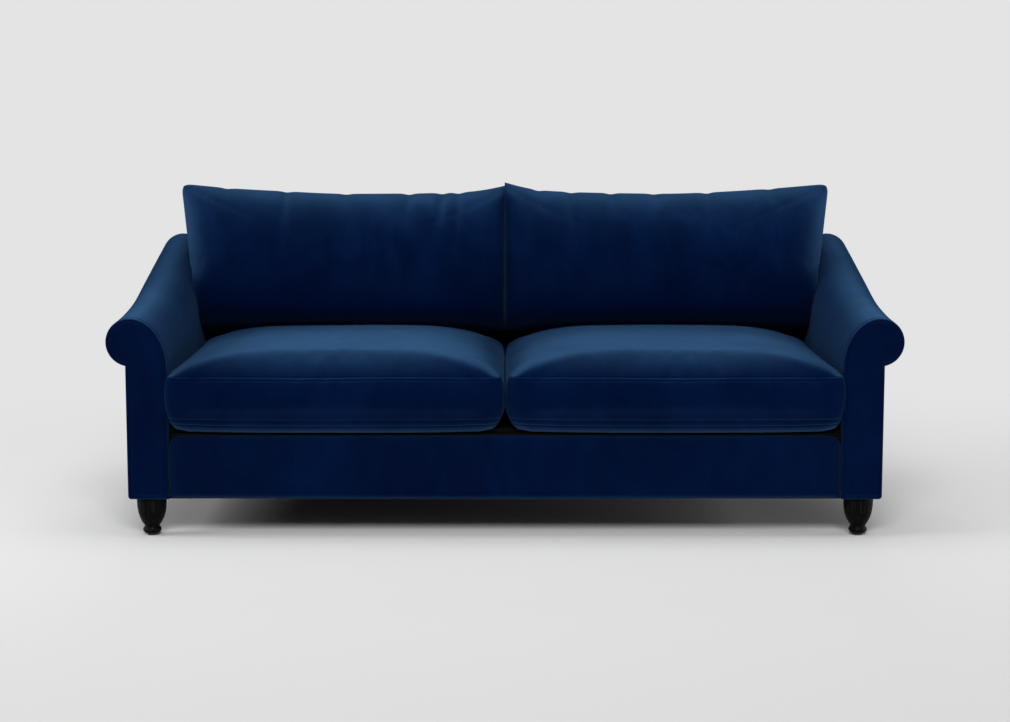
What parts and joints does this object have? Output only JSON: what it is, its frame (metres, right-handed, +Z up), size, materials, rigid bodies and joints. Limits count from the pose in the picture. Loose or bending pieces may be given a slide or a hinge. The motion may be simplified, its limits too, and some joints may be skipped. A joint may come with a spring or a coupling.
{
  "type": "sofa",
  "caption": "Scroll-arm sofa with loose seat and back cushions in dark blue velvet, a padded front border and turned dark wooden legs.",
  "frame": {"origin": "on the floor, under the middle of the sofa's outline", "axes": "+X to the right as seen from the front, the front faces -Y, +Z up"},
  "size_m": [2, 0.95, 0.865],
  "materials": {
    "velvet": "matte",
    "frame_timber": "matte",
    "leg_wood": "satin",
    "steel": "satin",
    "filling": "matte",
    "lining_cloth": "matte",
    "glide_nylon": "matte",
    "zip_tape": "matte",
    "zip_metal": "satin"
  },
  "bodies": {
    "frame": {"arm_boards": "frame_timber", "arm_facing_left": "velvet", "arm_facing_right": "velvet", "arm_front_post_left": "frame_timber", "arm_front_post_right": "frame_timber", "arm_outside_left": "velvet", "arm_outside_right": "velvet", "arm_pad_left": "velvet", "arm_pad_right": "velvet", "arm_top_rails": "frame_timber", "back_bolts": "steel", "back_inside_pad": "velvet", "back_middle_post": "frame_timber", "back_outside_panel": "velvet", "back_post_left": "frame_timber", "back_post_right": "frame_timber", "back_tack_rail": "frame_timber", "back_top_rail": "frame_timber", "back_webbing": "filling", "base_board_left": "frame_timber", "base_board_right": "frame_timber", "base_screws": "steel", "center_rail": "frame_timber", "clip_screws": "steel", "corner_blocks": "frame_timber", "corner_screws": "steel", "dust_cover": "lining_cloth", "foot_glides": "glide_nylon", "front_border": "velvet", "front_rail": "frame_timber", "leg_bolts": "steel", "leg_front_left": "leg_wood", "leg_front_right": "leg_wood", "leg_nuts": "steel", "leg_rear_left": "leg_wood", "leg_rear_right": "leg_wood", "rear_rail": "frame_timber", "seat_deck": "lining_cloth", "seat_springs": "steel", "side_rail_left": "frame_timber", "side_rail_right": "frame_timber", "spring_clips": "steel", "spring_tie_wires": "steel"},
    "seat_left": {"seat_cushion_left": "velvet", "seat_core_left": "filling", "seat_zip_left": "zip_tape"},
    "back_left": {"back_cushion_left": "velvet", "back_fill_left": "filling", "back_zip_left": "zip_tape"},
    "seat_slider_left": {"seat_zip_slider_left": "zip_metal"},
    "back_slider_left": {"back_zip_slider_left": "zip_metal"},
    "seat_right": {"seat_cushion_right": "velvet", "seat_core_right": "filling", "seat_zip_right": "zip_tape"},
    "back_right": {"back_cushion_right": "velvet", "back_fill_right": "filling", "back_zip_right": "zip_tape"},
    "seat_slider_right": {"seat_zip_slider_right": "zip_metal"},
    "back_slider_right": {"back_zip_slider_right": "zip_metal"}
  },
  "joints": [
    {"name": "seat_left_out", "type": "slide", "parent": "frame", "child": "seat_left", "axis": [0, -1, 0], "range_m": [0, 0.75]},
    {"name": "back_left_lift", "type": "slide", "parent": "frame", "child": "back_left", "axis": [0, 0, 1], "range_m": [0, 0.4]},
    {"name": "seat_left_zip", "type": "slide", "parent": "seat_left", "child": "seat_slider_left", "axis": [1, 0, 0], "range_m": [0, 0.62]},
    {"name": "back_left_zip", "type": "slide", "parent": "back_left", "child": "back_slider_left", "axis": [1, 0, 0], "range_m": [0, 0.62]},
    {"name": "seat_right_out", "type": "slide", "parent": "frame", "child": "seat_right", "axis": [0, -1, 0], "range_m": [0, 0.75]},
    {"name": "back_right_lift", "type": "slide", "parent": "frame", "child": "back_right", "axis": [0, 0, 1], "range_m": [0, 0.4]},
    {"name": "seat_right_zip", "type": "slide", "parent": "seat_right", "child": "seat_slider_right", "axis": [-1, 0, 0], "range_m": [0, 0.62]},
    {"name": "back_right_zip", "type": "slide", "parent": "back_right", "child": "back_slider_right", "axis": [-1, 0, 0], "range_m": [0, 0.62]}
  ]
}
